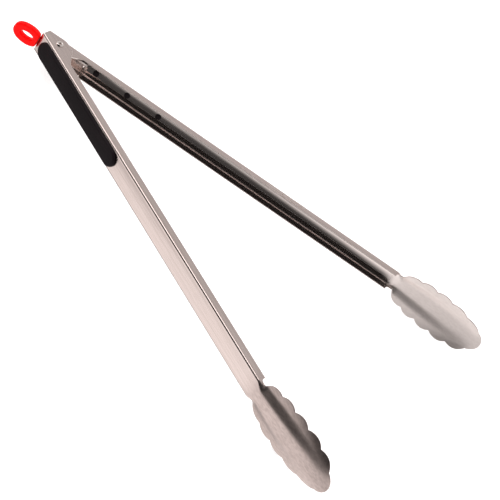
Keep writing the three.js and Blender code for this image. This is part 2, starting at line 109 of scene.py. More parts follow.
class Board:
    def __init__(self, holder):
        holder.use_nodes = True
        self.holder = holder
        self.tree = holder.node_tree
        self.tree.nodes.clear()

    def socketOf(self, sockets, name):
        if isinstance(name, int):
            return sockets[name]
        return next(s for s in sockets if name in (s.identifier, s.name))

    # settings first, then each socket's value or link
    def node(self, kind, settings=None, sockets=None, output=0):
        made = self.tree.nodes.new(kind)
        for name, value in (settings or {}).items():
            setattr(made, name, value)
        for name, value in (sockets or {}).items():
            target = self.socketOf(made.inputs, name)
            if isinstance(value, Signal):
                self.tree.links.new(value.socket, target)
            else:
                target.default_value = value
        if made.outputs:
            return Signal(self, self.socketOf(made.outputs, output))

    # 0 below the first value, 1 above the second
    def step(self, signal, low, high):
        wanted = {"Value": signal, "From Min": low, "From Max": high}
        return self.node("ShaderNodeMapRange", {"interpolation_type": "SMOOTHSTEP"}, wanted, "Result")

    def mix(self, share, first, second):
        wanted = {"Factor_Float": share, "A_Color": first, "B_Color": second}
        return self.node("ShaderNodeMix", {"data_type": "RGBA"}, wanted, "Result_Color")


# a material whose patterns follow the frame that the piece was drawn in
class Finish(Board):
    def __init__(self, name):
        super().__init__(bpy.data.materials.new(name))
        self.place = self.node("ShaderNodeAttribute", {"attribute_name": "drawnPlace"}, output="Vector")

    # noise with its own number of features per metre along each axis
    def noise(self, perMetre, detail=2.0, roughness=0.5):
        stretched = self.node(
            "ShaderNodeVectorMath", {"operation": "MULTIPLY"}, {0: self.place, 1: perMetre}
        )
        wanted = {"Vector": stretched, "Scale": 1.0, "Detail": detail, "Roughness": roughness}
        return self.node("ShaderNodeTexNoise", {}, wanted, "Fac")

    def relief(self, height, depth):
        return self.node("ShaderNodeBump", {}, {"Height": height, "Distance": depth}, "Normal")

    def surface(self, values):
        shader = self.node("ShaderNodeBsdfPrincipled", {}, values, "BSDF")
        self.node("ShaderNodeOutputMaterial", {}, {"Surface": shader})
        return self.holder


def rgb(red, green, blue):
    return (red, green, blue, 1.0)


armSteelLook = {
    "light": rgb(0.67, 0.575, 0.545),
    "dark": rgb(0.56, 0.475, 0.445),
    "grain": (70, 3600, 3600),  # brushed lines along the arm
    "streaks": (7, 420, 420),
    "smudges": (26, 60, 60),
    "toneShares": (0.45, 0.35, 0.2),  # of grain, streaks and smudges in the tone
    "toneEnds": (0.35, 0.65),  # tone at which the colour is fully dark and fully light
    "roughness": 0.25,
    "roughnessChange": 0.10,
    "grainWear": 0.5,  # shares of grain and of smudges in the change of roughness
    "smudgeWear": 0.5,
    "smudgeEnds": (0.4, 0.7),
    "grainDepth": 0.001 * mm,
    "headStart": 0.335,  # from here on the sheet is tumbled satin, metres from the pivot
    "headFull": 0.362,
    "headRoughness": 0.15,
    "headColour": rgb(0.60, 0.50, 0.47),
    "headShade": rgb(0.44, 0.36, 0.335),
    "headTint": 0.8,  # how much of the head's own colour shows
    "tumbled": (260, 700, 700),
    "tumbledEnds": (0.3, 0.7),
}
# the channel's inside isn't polished away by the brushes, so it mirrors more; its colours, the head's
# most of all, are painted brighter than the back's of the same sheet, a painted light for the light that
# the inside and the head catch
brightPaintedInsideSteelLook = dict(
    armSteelLook,
    light=rgb(0.85, 0.77, 0.74),
    dark=rgb(0.77, 0.68, 0.65),
    grain=(25, 1300, 1300),
    roughness=0.08,
    roughnessChange=0.03,
    grainDepth=0.0004 * mm,
    headRoughness=0.47,
    headColour=rgb(0.98, 0.91, 0.88),
    headShade=rgb(0.90, 0.83, 0.80),
)
# the sheared edges have their own grain and roughness; their brighter colour is a painted highlight along
# the sheet's free edges
highlightPaintedEdgeSteelLook = dict(
    armSteelLook,
    light=rgb(0.80, 0.72, 0.69),
    dark=rgb(0.70, 0.62, 0.59),
    grain=(900, 900, 900),
    roughness=0.3,
    grainDepth=0.002 * mm,
)
lockSteelLook = dict(
    armSteelLook,
    light=rgb(0.70, 0.63, 0.60),
    dark=rgb(0.58, 0.51, 0.48),
    grain=(900, 2600, 2600),
    roughness=0.22,
    roughnessChange=0.05,
    grainDepth=0.002 * mm,
)
rivetSteelLook = dict(
    armSteelLook,
    light=rgb(0.84, 0.77, 0.74),
    dark=rgb(0.74, 0.67, 0.64),
    grain=(1500, 1500, 2600),
    roughness=0.16,
    roughnessChange=0.06,
    grainDepth=0.001 * mm,
)
springSteelLook = dict(
    armSteelLook,
    light=rgb(0.62, 0.57, 0.55),
    dark=rgb(0.48, 0.44, 0.42),
    grain=(1500, 1500, 900),
    roughness=0.22,
    grainDepth=0.001 * mm,
)


def steelFinish(name, look):
    finish = Finish(name)
    grain = finish.noise(look["grain"], detail=4, roughness=0.65)
    streaks = finish.noise(look["streaks"], detail=3)
    smudges = finish.noise(look["smudges"], detail=4, roughness=0.6)
    grainShare, streakShare, smudgeShare = look["toneShares"]
    tone = grainShare * grain + streakShare * streaks + smudgeShare * smudges
    colour = finish.mix(finish.step(tone, *look["toneEnds"]), look["dark"], look["light"])
    smudged = finish.step(smudges, *look["smudgeEnds"])
    wear = look["grainWear"] * grain + look["smudgeWear"] * smudged
    smoothest = look["roughness"] - look["roughnessChange"] / 2
    rough = smoothest + look["roughnessChange"] * wear
    along = finish.node("ShaderNodeSeparateXYZ", {}, {"Vector": finish.place}, "X")
    head = finish.step(along, look["headStart"], look["headFull"])
    rough = rough + look["headRoughness"] * head
    mottle = finish.noise(look["tumbled"], detail=3, roughness=0.6)
    tumbled = finish.step(mottle, *look["tumbledEnds"])
    satin = finish.mix(tumbled, look["headShade"], look["headColour"])
    colour = finish.mix(look["headTint"] * head, colour, satin)
    return finish.surface({
        "Base Color": colour,
        "Metallic": 1.0,
        "Roughness": rough,
        "Normal": finish.relief(grain, look["grainDepth"]),
    })


rubberLook = {
    "colour": rgb(0.0045, 0.0025, 0.0033),
    "worn": rgb(0.0090, 0.0060, 0.0070),
    "pebbles": (1500, 1500, 1500),
    "scuffs": (60, 200, 200),
    "scuffEnds": (0.45, 0.75),
    "roughness": 0.55,
    "wornRoughness": 0.14,
    "pebbleRoughness": 0.06,
    "pebbleDepth": 0.02 * mm,
    "shine": 0.13,
}


def rubberFinish(name, look):
    finish = Finish(name)
    pebbles = finish.noise(look["pebbles"], detail=2)
    scuffs = finish.noise(look["scuffs"], detail=5, roughness=0.65)
    worn = finish.step(scuffs, *look["scuffEnds"])
    roughness = look["roughness"] + look["wornRoughness"] * worn + look["pebbleRoughness"] * pebbles
    return finish.surface({
        "Base Color": finish.mix(worn, look["colour"], look["worn"]),
        "Roughness": roughness,
        "Normal": finish.relief(pebbles, look["pebbleDepth"]),
        "Specular IOR Level": look["shine"],
    })


plasticLook = {
    "colour": rgb(0.97, 0.0, 0.0),
    "deep": rgb(0.86, 0.0, 0.0),
    "ripple": (160, 160, 160),
    "rippleEnds": (0.3, 0.75),
    "speckle": (2400, 2400, 2400),
    "speckleShare": 0.08,  # of the relief
    "reliefDepth": 0.05 * mm,
    "roughness": 0.3,
    "speckleRoughness": 0.08,
    "shine": 0.12,
}


def plasticFinish(name, look):
    finish = Finish(name)
    ripple = finish.noise(look["ripple"], detail=2)
    speckle = finish.noise(look["speckle"], detail=2)
    height = ripple + look["speckleShare"] * speckle
    return finish.surface({
        "Base Color": finish.mix(finish.step(ripple, *look["rippleEnds"]), look["deep"], look["colour"]),
        "Roughness": look["roughness"] + look["speckleRoughness"] * speckle,
        "Normal": finish.relief(height, look["reliefDepth"]),
        "Specular IOR Level": look["shine"],
    })


armSteel = steelFinish("armSteel", armSteelLook)
edgeSteel = steelFinish("edgeSteel", highlightPaintedEdgeSteelLook)
insideSteel = steelFinish("insideSteel", brightPaintedInsideSteelLook)
lockSteel = steelFinish("lockSteel", lockSteelLook)
rivetSteel = steelFinish("rivetSteel", rivetSteelLook)
springSteel = steelFinish("springSteel", springSteelLook)
gripRubber = rubberFinish("gripRubber", rubberLook)
loopPlastic = plasticFinish("loopPlastic", plasticLook)
print("finishes made")

joints = {joint["name"]: joint for joint in frame["joints"]}
pivot = Vector(joints["arm_hinge"]["pos_m"])
pullWay = Vector(joints["lock_pull"]["axis"])
halfOpen = math.atan2(-pullWay.y, -pullWay.x)
# each arm is drawn with x from the pivot to the head and y from its back to the other arm
pivotPlace = Matrix.Translation(pivot)
outerPlace = pivotPlace @ Matrix.Rotation(-halfOpen, 4, "Z")
innerPlace = pivotPlace @ Matrix.Rotation(halfOpen, 4, "Z") @ Matrix.Rotation(math.pi, 4, "X")


weldDistance = 1e-7  # metres


# every mesh is drawn in millimetres
def makePiece(name, points, faces, place, materials, marks=None, sharpAngle=40):
    mesh = bpy.data.meshes.new(name)
    mesh.from_pydata((np.asarray(points) * mm).tolist(), [], faces)
    for material in materials:
        mesh.materials.append(material)
    if marks is not None:
        mesh.polygons.foreach_set("material_index", marks)
    build = bmesh.new()
    build.from_mesh(mesh)
    bmesh.ops.remove_doubles(build, verts=build.verts, dist=weldDistance)
    bmesh.ops.recalc_face_normals(build, faces=build.faces)
    build.to_mesh(mesh)
    build.free()
    drawn = np.zeros(len(mesh.vertices) * 3, np.float32)
    mesh.vertices.foreach_get("co", drawn)
    mesh.attributes.new("drawnPlace", "FLOAT_VECTOR", "POINT").data.foreach_set("vector", drawn)
    mesh.transform(place)
    mesh.polygons.foreach_set("use_smooth", [True] * len(mesh.polygons))
    mesh.set_sharp_from_angle(angle=math.radians(sharpAngle))
    piece = bpy.data.objects.new(name, mesh)
    addToScene(piece)
    return piece


# points of a bend that leaves `start` and meets `end` in the directions of `corner`
def curved(start, corner, end, shares):
    return [(1 - t) ** 2 * start + 2 * t * (1 - t) * corner + t * t * end for t in shares]


mostRounded = 0.45  # of the shorter side beside a corner


# an open line with its inner corners rounded
def softened(points, radius, steps=4):
    points = [np.array(p, float) for p in points]
    line = [points[0]]
    for before, corner, after in zip(points, points[1:], points[2:]):
        toBefore, toAfter = before - corner, after - corner
        shorter = min(np.linalg.norm(toBefore), np.linalg.norm(toAfter))
        reach = min(radius, shorter * mostRounded)
        start = corner + toBefore / np.linalg.norm(toBefore) * reach
        end = corner + toAfter / np.linalg.norm(toAfter) * reach
        line += curved(start, corner, end, [i / steps for i in range(steps + 1)])
    return line + [points[-1]]


# skins rings of points that all have the same count; the ends are closed by `capEnd` with
# the material `capMark`, and `around` gives the material of each strip between two points
def skinRings(rings, capEnd, around=None, capMark=0):
    count = len(rings[0])
    around = around or [0] * count
    faces, marks = [], []
    for row in range(len(rings) - 1):
        for j in range(count):
            a, b = row * count + j, row * count + (j + 1) % count
            faces.append((a, a + count, b + count, b))
            marks.append(around[j])
    for start in (0, (len(rings) - 1) * count):
        for face in capEnd(count):
            faces.append([start + j for j in face])
            marks.append(capMark)
    return np.vstack(rings), faces, marks


edgeSteps = 3  # on each of the two bends of a free edge


# one closed ring round the sheet: back face, rounded free edge, inside face, other free edge
def sheetRing(back, inside, edgeRadius):
    back, inside = back.copy(), inside.copy()
    edges = []
    for end, inner in ((-1, -2), (0, 1)):
        out = back[end] - back[inner]
        spacing = np.linalg.norm(out)
        radius = min(edgeRadius, mostRounded * spacing)
        out = out / spacing
        through = inside[end] - back[end]
        through = through / np.linalg.norm(through)
        backCorner, insideCorner = back[end].copy(), inside[end].copy()
        back[end] = backCorner - radius * out
        inside[end] = insideCorner - radius * out
        shares = [i / edgeSteps for i in range(1, edgeSteps + 1)]
        edge = curved(back[end], backCorner, backCorner + radius * through, shares)
        edge += curved(insideCorner - radius * through, insideCorner, inside[end], [0] + shares[:-1])
        edges.append(edge)
    return np.vstack([back, edges[0], inside[::-1], edges[1][::-1]])


# rows are (back, inside) pairs of point arrays that run across the sheet; the material
# numbers are 0 for its back, 1 for its edges and 2 for its inside
def foldSheet(rows, edgeRadius):
    across = len(rows[0][0])
    edge = 2 * edgeSteps

    def cap(count):
        strips = []
        for j in range(across - 1):
            k = 2 * across + edge - 1 - j
            strips.append((j, j + 1, k - 1, k))
        strips.append(tuple(range(across - 1, across + edge + 1)))
        strips.append(tuple(range(2 * across + edge - 1, count)) + (0,))
        return strips

    rings = [sheetRing(back, inside, edgeRadius) for back, inside in rows]
    face = across - 1
    around = [0] * face + [1] * (edge + 1) + [2] * face + [1] * (edge + 1)
    return skinRings(rings, cap, around, 1)


def bothHalves(half):
    return np.vstack([half[:0:-1] * (1, 1, -1), half])


# half is points from the middle of the sheet to its free edge, turn the face's tilt there
def sheetRow(half, turn, sheet):
    inward = np.column_stack([np.zeros(len(turn)), np.cos(turn), -np.sin(turn)])
    return bothHalves(half), bothHalves(half + sheet * inward)


webSteps, foldSteps, wallSteps = 8, 8, 6  # across half of a channel


# half of a folded channel; the wall runs from the fold at `footX` up to the point `rim`, and
# the web's middle stands in by `bow`
def channelHalf(halfWidth, footX, rim, floor, foldRadius, bow=0.0):
    flat = halfWidth - foldRadius
    half, turns = [], []
    for share in np.arange(webSteps) / webSteps:
        half.append((footX, floor + bow * (1 - share ** 2), flat * share))
        turns.append(-2 * bow * share / flat)
    for i in range(foldSteps + 1):
        turn = math.pi / 2 * i / foldSteps
        y = floor + foldRadius * (1 - math.cos(turn))
        half.append((footX, y, flat + foldRadius * math.sin(turn)))
        turns.append(turn)
    foot = np.array([footX, floor + foldRadius])
    for i in range(1, wallSteps + 1):
        x, y = foot + (np.array(rim) - foot) * i / wallSteps
        half.append((x, y, halfWidth))
        turns.append(math.pi / 2)
    return np.array(half), np.array(turns)


armShape = {
    "reach": 443.0,  # pivot to the tip of the head
    "headLength": 95.5,
    "tail": 14.0,
    "sheet": 0.8,
    "pivotHeight": 9.7,
    "flange": 7.95,
    "foldRadius": 1.8,
    "webBow": 0.4,  # past the lock the web's middle stands this far in
    "bowStart": (30, 60),
    "earFront": 23.0,
    "earSlope": 35.6,  # degrees
    "earBend": 1.6,
    "earLanding": 6.0,  # length of flange drawn together with the ear
    "headRise": 11.2,
    "headRiseLength": 93.0,
    "dishDepth": 4.6,
    "dishPower": 2.2,  # of the even bowl at the tip
    "dishFade": 6,  # power with which the bowl flattens out towards the tip
    "dishSplit": (0.25, 0.75),  # shares of the half width up to which the web and the fold are spread
    "dishNeckIn": 2.5,  # how much narrower the bowl's base line is at the neck
    "dishOverrun": 30.0,  # the base line is smoothed from this far before the head to this far past it
    "pressedBend": (0.3, 0.78),  # where the wings are bent up at the neck, in shares of the half width
    "pressedShare": 0.62,  # of the depth that the bend takes
    "pressedReach": (0.25, 0.95),  # shares of the head over which the bend fades into the bowl
    "neckLength": 10.5,
    "notchRadius": 3.0,
    "notchDepth": 3.6,
    "scallopRise": 2.95,
    # cusps between the scallops: distance back from the tip, half width
    "cusps": [(88.5, 11.0), (73.5, 17.3), (58.0, 18.7), (42.0, 19.0), (25.0, 17.4), (8.0, 10.8)],
    "edgeRadius": 0.2,
}
outerArmShape = {"halfWidth": 10.25, "earRadius": 9.0, "tailTip": (-16.3, -1.0)}
innerArmShape = {"halfWidth": 9.25, "earRadius": 8.0, "tailTip": (-15.2, -1.6)}
earSteps, notchSteps, neckSteps, scallopSteps = 18, 10, 6, 16
straightStep = 9.0
baseLineStep, baseLineSpan, baseLineSpread = 0.5, 40, 14


# points of the free edge from the tail tip over the ear to the flange, as (x, y)
def earLine(arm, own):
    flangeEdge = arm["flange"] - arm["pivotHeight"]
    radius = own["earRadius"]
    tip = np.array(own["tailTip"])
    reach = np.linalg.norm(tip)
    touch = math.atan2(tip[1], tip[0]) + 2 * math.pi - math.acos(radius / reach)
    turns = np.linspace(touch, math.pi / 2, earSteps)
    arc = [radius * np.array([math.cos(turn), math.sin(turn)]) for turn in turns]
    front = arm["earFront"]
    crest = front - (radius - flangeEdge) / math.tan(math.radians(arm["earSlope"]))
    line = [tip, (tip * 2 + arc[0]) / 3, (tip + arc[0] * 2) / 3, *arc]
    corners = [(0, radius), (crest, radius), (front, flangeEdge), (front + arm["earLanding"], flangeEdge)]
    return line + softened(corners, arm["earBend"])[1:]


# weights of a soft blur that reaches `span` samples to each side
def blurWeights(span, spread):
    weights = np.exp(-0.5 * (np.arange(-span, span + 1) / spread) ** 2)
    return weights / weights.sum()


# half width of the smooth line that the dish is drawn against
def dishReach(arm):
    far = [arm["reach"] - back for back, _ in arm["cusps"]]
    wide = [width for _, width in arm["cusps"]]
    wide[0] = wide[1] - arm["dishNeckIn"]
    start = arm["reach"] - arm["headLength"] - arm["dishOverrun"]
    x = np.arange(start, arm["reach"] + arm["dishOverrun"], baseLineStep)
    weights = blurWeights(baseLineSpan, baseLineSpread)
    smooth = np.convolve(np.interp(x, far, wide), weights, mode="same")
    return lambda at: np.interp(at, x, smooth)


def headCentre(arm, x):
    climb = max(0.0, x - arm["reach"] + arm["headRiseLength"]) / arm["headRiseLength"]
    return -arm["pivotHeight"] + arm["headRise"] * climb ** 2


# 0 below the first value, 1 above the second
def eased(value, low, high):
    share = np.clip((value - low) / (high - low), 0, 1)
    return share * share * (3 - 2 * share)


# height of the wings, as a share of the dish's depth
def dishSection(arm, along, share):
    bend = eased(share, *arm["pressedBend"])
    pressed = arm["pressedShare"] * bend + (1 - arm["pressedShare"]) * share ** 2
    bowl = share ** arm["dishPower"]
    return pressed + (bowl - pressed) * eased(along, *arm["pressedReach"])


# half of a row across the dish, with as many points as the channel has
def dishHalf(arm, reachAt, x, halfWidth):
    along = (x - arm["reach"] + arm["headLength"]) / arm["headLength"]
    depth = arm["dishDepth"] * (1 - along ** arm["dishFade"])
    webEnd, foldEnd = arm["dishSplit"]
    web = webEnd * np.arange(webSteps) / webSteps
    fold = webEnd + (foldEnd - webEnd) * np.arange(foldSteps + 1) / foldSteps
    wall = foldEnd + (1 - foldEnd) * np.arange(1, wallSteps + 1) / wallSteps
    z = halfWidth * np.concatenate([web, fold, wall])
    share = z / reachAt(x)
    y = headCentre(arm, x) + depth * dishSection(arm, along, share)
    step = 0.01  # in shares, for measuring the slope
    before, after = np.maximum(share - step, 0), share + step
    climb = dishSection(arm, along, after) - dishSection(arm, along, before)
    slope = depth * climb / (after - before) / reachAt(x)
    return np.column_stack([np.full(len(z), x), y, z]), np.arctan(slope)


# the head's free edge as (x, half width): round scallops between the cusps and a round tip
def scallopLine(arm):
    points = [np.array([arm["reach"] - back, width]) for back, width in arm["cusps"]]
    line = []
    for start, end in zip(points, points[1:]):
        chord = end - start
        length = np.linalg.norm(chord)
        radius = (length ** 2 / 4 + arm["scallopRise"] ** 2) / (2 * arm["scallopRise"])
        spread = math.asin(length / 2 / radius)
        outward = np.array([-chord[1], chord[0]]) / length
        centre = (start + end) / 2 + outward * (arm["scallopRise"] - radius)
        for turn in np.linspace(spread, -spread, scallopSteps + 1)[:-1]:
            across = np.array([outward[1], -outward[0]])
            line.append(centre + radius * (outward * math.cos(turn) - across * math.sin(turn)))
    back, width = arm["cusps"][-1]
    radius = (back ** 2 + width ** 2) / (2 * back)
    lastTurn = 0.1  # radians short of the very tip, where the head's end is closed
    for turn in np.linspace(math.asin(width / radius), lastTurn, scallopSteps):
        line.append(np.array([arm["reach"] - radius + radius * math.cos(turn), radius * math.sin(turn)]))
    return line


# the rows of the whole sheet, from the tail over the ear, the channel and the neck to the tip
def armRows(arm, own):
    halfWidth = own["halfWidth"]
    floor = -arm["pivotHeight"]
    flangeEdge = floor + arm["flange"]
    rows = []

    def channel(footX, rim):
        bow = arm["webBow"] * eased(footX, *arm["bowStart"])
        return channelHalf(halfWidth, footX, rim, floor, arm["foldRadius"], bow)

    ear = earLine(arm, own)
    walked = np.concatenate([[0], np.cumsum([np.linalg.norm(b - a) for a, b in zip(ear, ear[1:])])])
    crown = next(i for i, point in enumerate(ear) if point[0] > 0)
    for i, point in enumerate(ear):
        behind = arm["tail"] * (walked[i] / walked[crown - 1] - 1)
        rows.append(sheetRow(*channel(behind if i < crown else point[0], point), arm["sheet"]))
    channelEnd = arm["reach"] - arm["headLength"]
    straight = np.linspace(ear[-1][0], channelEnd, int((channelEnd - ear[-1][0]) / straightStep))
    for x in straight[1:]:
        rows.append(sheetRow(*channel(x, (x, flangeEdge)), arm["sheet"]))

    reachAt = dishReach(arm)

    def neck(x, rimHeight, edgeWidth):
        share = eased(x, channelEnd, channelEnd + arm["neckLength"])
        fold, foldTurn = channel(x, (x, floor + rimHeight))
        dish, dishTurn = dishHalf(arm, reachAt, x, edgeWidth)
        ways = [sheetRow(fold, foldTurn, arm["sheet"]), sheetRow(dish, dishTurn, arm["sheet"])]
        return tuple(a + (b - a) * share for a, b in zip(*ways))

    for share in np.linspace(1 / notchSteps, 1, notchSteps):
        x = channelEnd + arm["notchRadius"] * (1 - math.cos(math.pi / 2 * share))
        drop = (arm["flange"] - arm["notchDepth"]) * math.sin(math.pi / 2 * share)
        rows.append(neck(x, arm["flange"] - drop, halfWidth))
    line = scallopLine(arm)
    for x in np.linspace(channelEnd + arm["notchRadius"], line[0][0], neckSteps)[1:-1]:
        rows.append(neck(x, arm["notchDepth"], halfWidth))
    for x, edgeWidth in line:
        rows.append(neck(x, arm["notchDepth"], edgeWidth))
    return rows


def makeArm(name, arm, own, place, body, node):
    points, faces, marks = foldSheet(armRows(arm, own), arm["edgeRadius"])
    piece = makePiece(name, points, faces, place, [armSteel, edgeSteel, insideSteel], marks)
    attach(piece, body)
    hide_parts(node)


makeArm("outerArmSheet", armShape, outerArmShape, outerPlace, "outer_half", "outer_arm")
makeArm("innerArmSheet", armShape, innerArmShape, innerPlace, "inner_half", "inner_arm")
print("arms folded")

gripShape = {
    "start": -9.5,
    "end": 124.5,
    "margin": 1.9,  # to the arm's side
    "seatGap": 0.02,
    "foot": [(0.35, 0.0), (0.1, 0.12), (0, 0.4)],  # the rounded foot's insets and heights
    "thickness": 2.8,
    "crown": 0.45,  # how much higher the middle is than the shoulder
    "shoulder": 2.6,  # width of the rounded shoulder
    "shoulderPower": 2.2,
    "middleSlit": 0.05,  # half width of the loops that close the top and the underside
    "lift": 0.3,
    "studs": [38, 70, 102],
    "studRadius": 1.8,
    "studRoot": 1.0,  # how far the stud reaches into the pad
    "studHead": 3.0,
    "studHeadGap": 0.05,
    "studHeadHeight": 1.2,
    "studHeadTop": 0.8,  # share of the head's radius at its top
    "studHeadBend": 0.6,
    "studCrown": (0.3, 0.15),  # radius and height
}
archSteps, sideSteps, shoulderSteps, topSteps = 24, 46, 12, 9
gripStudSides = 28


# a long loop with round ends, drawn at a distance inside the grip's outline
def gripLoop(grip, radius, inset, y):
    small = radius - inset
    front, rear = grip["end"] - radius, grip["start"] + radius
    loop = []
    for centre, first, other in ((front, -90, rear), (rear, 90, front)):
        for angle in np.radians(np.linspace(first, first + 180, archSteps)):
            loop.append((centre + small * math.cos(angle), y, small * math.sin(angle)))
        side = small if first < 0 else -small
        loop += [(x, y, side) for x in np.linspace(centre, other, sideSteps + 2)[1:-1]]
    return np.array(loop)


# a turned form about an axis through `centre`; profile is (radius, height) pairs, `axis` is
# 0, 1 or 2 for x, y or z
def turnedPoints(profile, sides, axis=2, centre=(0, 0, 0)):
    rings = []
    for radius, height in profile:
        angles = np.linspace(0, 2 * math.pi, sides, endpoint=False)
        ring = np.zeros((sides, 3))
        first, second = [k for k in range(3) if k != axis]
        ring[:, first] = radius * np.cos(angles)
        ring[:, second] = radius * np.sin(angles)
        ring[:, axis] = height
        rings.append(ring + centre)
    return skinRings(rings, lambda count: [tuple(range(count))])


# several shells in one mesh
def joined(*parts):
    points, faces, marks = [], [], []
    shift = 0
    for partPoints, partFaces, partMarks in parts:
        points.append(partPoints)
        faces += [[shift + j for j in face] for face in partFaces]
        marks += partMarks
        shift += len(partPoints)
    return np.vstack(points), faces, marks


def makeGrip(name, grip, arm, own, place, body, node):
    radius = own["halfWidth"] - grip["margin"]
    back = -arm["pivotHeight"] - grip["seatGap"]
    top = grip["thickness"] + grip["lift"] - grip["crown"]
    middle = radius - grip["middleSlit"]
    loops = [gripLoop(grip, radius, middle, back)]
    loops += [gripLoop(grip, radius, inset, back - height) for inset, height in grip["foot"]]
    footTop, power = grip["foot"][-1][1], grip["shoulderPower"]
    for share in np.linspace(0, 1, shoulderSteps)[1:]:
        rise = (1 - (1 - share) ** power) ** (1 / power)
        y = back - footTop - (top - footTop) * rise
        loops.append(gripLoop(grip, radius, grip["shoulder"] * share, y))
    for share in np.linspace(0, 1, topSteps)[1:]:
        inset = grip["shoulder"] + (middle - grip["shoulder"]) * share
        bulge = grip["crown"] * (1 - (1 - share) ** 2)
        loops.append(gripLoop(grip, radius, inset, back - top - bulge))
    parts = [skinRings(loops, lambda count: [tuple(range(count))])]
    web = -arm["pivotHeight"] + arm["sheet"]
    headFoot = web + grip["studHeadGap"]
    headTop = web + grip["lift"] + grip["studHeadHeight"]
    crownRadius, crownHeight = grip["studCrown"]
    corners = [
        (grip["studRadius"], back - grip["studRoot"]),
        (grip["studRadius"], headFoot),
        (grip["studHead"], headFoot),
        (grip["studHead"] * grip["studHeadTop"], headTop),
        (crownRadius, headTop + crownHeight),
    ]
    profile = softened(corners, grip["studHeadBend"])
    parts += [turnedPoints(profile, gripStudSides, 1, (x, 0, 0)) for x in grip["studs"]]
    points, faces, _ = joined(*parts)
    piece = makePiece(name, points, faces, place, [gripRubber])
    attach(piece, body)
    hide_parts(node)


makeGrip("outerGripPad", gripShape, armShape, outerArmShape, outerPlace, "outer_half", "outer_grip")
makeGrip("innerGripPad", gripShape, armShape, innerArmShape, innerPlace, "inner_half", "inner_grip")
print("grips moulded")

loopShape = {
    "base": -17.3,
    "tip": -41.0,
    "widest": -27.0,
    "baseHalfWidth": 6.2,
    "halfWidth": 9.2,
    "tipFullness": 0.62,
    "basePull": 4.0,  # how far the curve's handles lie behind the base and before the tip
    "tipPull": 5.0,
    "thickness": 6.0,
    "offset": -0.4,
    "hole": (-21.5, -33.5),
    "holeHalfWidth": 2.6,
    "roundness": 0.55,  # 1 is a round section, 0 a square one
}
loopAround, loopSection = 120, 28
loopSideSteps, loopTipSteps, loopFineSteps = 12, 20, 20
loopBlurSpan, loopBlurSpread = 6, 1.6


# half of the outline, from the base round to the tip
def loopOutline(loop):
    base, tip, wide = loop["base"], loop["tip"], loop["halfWidth"]
    widest = np.array([loop["widest"], wide])
    start = np.array([base, loop["baseHalfWidth"]])
    corner = np.array([base - loop["basePull"], wide])
    side = curved(start, corner, widest, np.linspace(0, 1, loopSideSteps))
    pull = [widest]
    for point in ((tip + loop["tipPull"], wide), (tip, wide * loop["tipFullness"]), (tip, 0)):
        pull.append(np.array(point))
    for t in np.linspace(0, 1, loopTipSteps)[1:]:
        weights = [(1 - t) ** 3, 3 * t * (1 - t) ** 2, 3 * t * t * (1 - t), t ** 3]
        side.append(sum(weight * point for weight, point in zip(weights, pull)))
    return side


# distance from the middle of the hole to the outline, all the way round
def loopRadii(loop, middle, angles):
    side = [point - (middle, 0) for point in loopOutline(loop)]
    line = [np.array([side[0][0], 0])] + side
    turned = np.abs((angles + math.pi) % (2 * math.pi) - math.pi)
    fine = []
    for start, end in zip(line, line[1:]):
        fine += [start + (end - start) * t for t in np.linspace(0, 1, loopFineSteps)]
    heading = np.array([math.atan2(point[1], point[0]) for point in fine])
    length = np.array([np.linalg.norm(point) for point in fine])
    order = np.argsort(heading)
    radii = np.interp(turned, heading[order], length[order])
    span = loopBlurSpan
    wrapped = np.concatenate([radii[-span:], radii, radii[:span]])
    return np.convolve(wrapped, blurWeights(span, loopBlurSpread), mode="valid")


def makeLoop(loop):
    middle = sum(loop["hole"]) / 2
    holeLength = (loop["hole"][0] - loop["hole"][1]) / 2
    angles = np.linspace(0, 2 * math.pi, loopAround, endpoint=False)
    outer = loopRadii(loop, middle, angles)
    rings = []
    for angle, far in zip(angles, outer):
        way = np.array([math.cos(angle), math.sin(angle)])
        near = 1 / math.hypot(way[0] / holeLength, way[1] / loop["holeHalfWidth"])
        ring = []
        for turn in np.linspace(0, 2 * math.pi, loopSection, endpoint=False):
            c, s = math.cos(turn), math.sin(turn)
            across = math.copysign(abs(c) ** loop["roundness"], c)
            up = math.copysign(abs(s) ** loop["roundness"], s)
            x, z = way * ((near + far) / 2 + (far - near) / 2 * across)
            ring.append((middle + x, loop["offset"] + loop["thickness"] / 2 * up, z))
        rings.append(np.array(ring))
    points, faces, _ = skinRings(rings + [rings[0]], lambda count: [])
    piece = makePiece("pullLoopMoulding", points, faces, innerPlace, [loopPlastic], sharpAngle=60)
    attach(piece, "lock")
    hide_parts("pull_loop")


makeLoop(loopShape)
print("pull loop moulded")

rivetShape = {
    "seat": 10.3,  # half length between the heads
    "radius": 2.0,
    "headRadius": 3.2,
    "headHeight": 1.1,
    "seatEase": 0.02,
    "domeEdge": 0.15,  # share of the lower head's height that is its straight edge
    "domeTurns": (0.02, 1.5),  # radians from the axis to the edge
    "rimEdge": 0.25,
    "rimRoll": 0.28,  # width of the rolled rim, in shares of the upper head's radius
    "rimTurns": (math.pi / 2, 0.2 - math.pi / 2),
    "rimFoot": 0.97,
    "bore": 1.3,
    "boreEdge": 0.1,
    "boreDepth": 8.0,
    "boreTip": 0.5,
}
sleeveShape = {"radius": 2.6, "halfLength": 8.4, "gap": 0.05, "bend": 0.15}
nearAxis = 0.02  # radius of the small ring that closes a turned end
domeSteps, rimSteps, rivetSides, sleeveSides = 12, 14, 64, 48


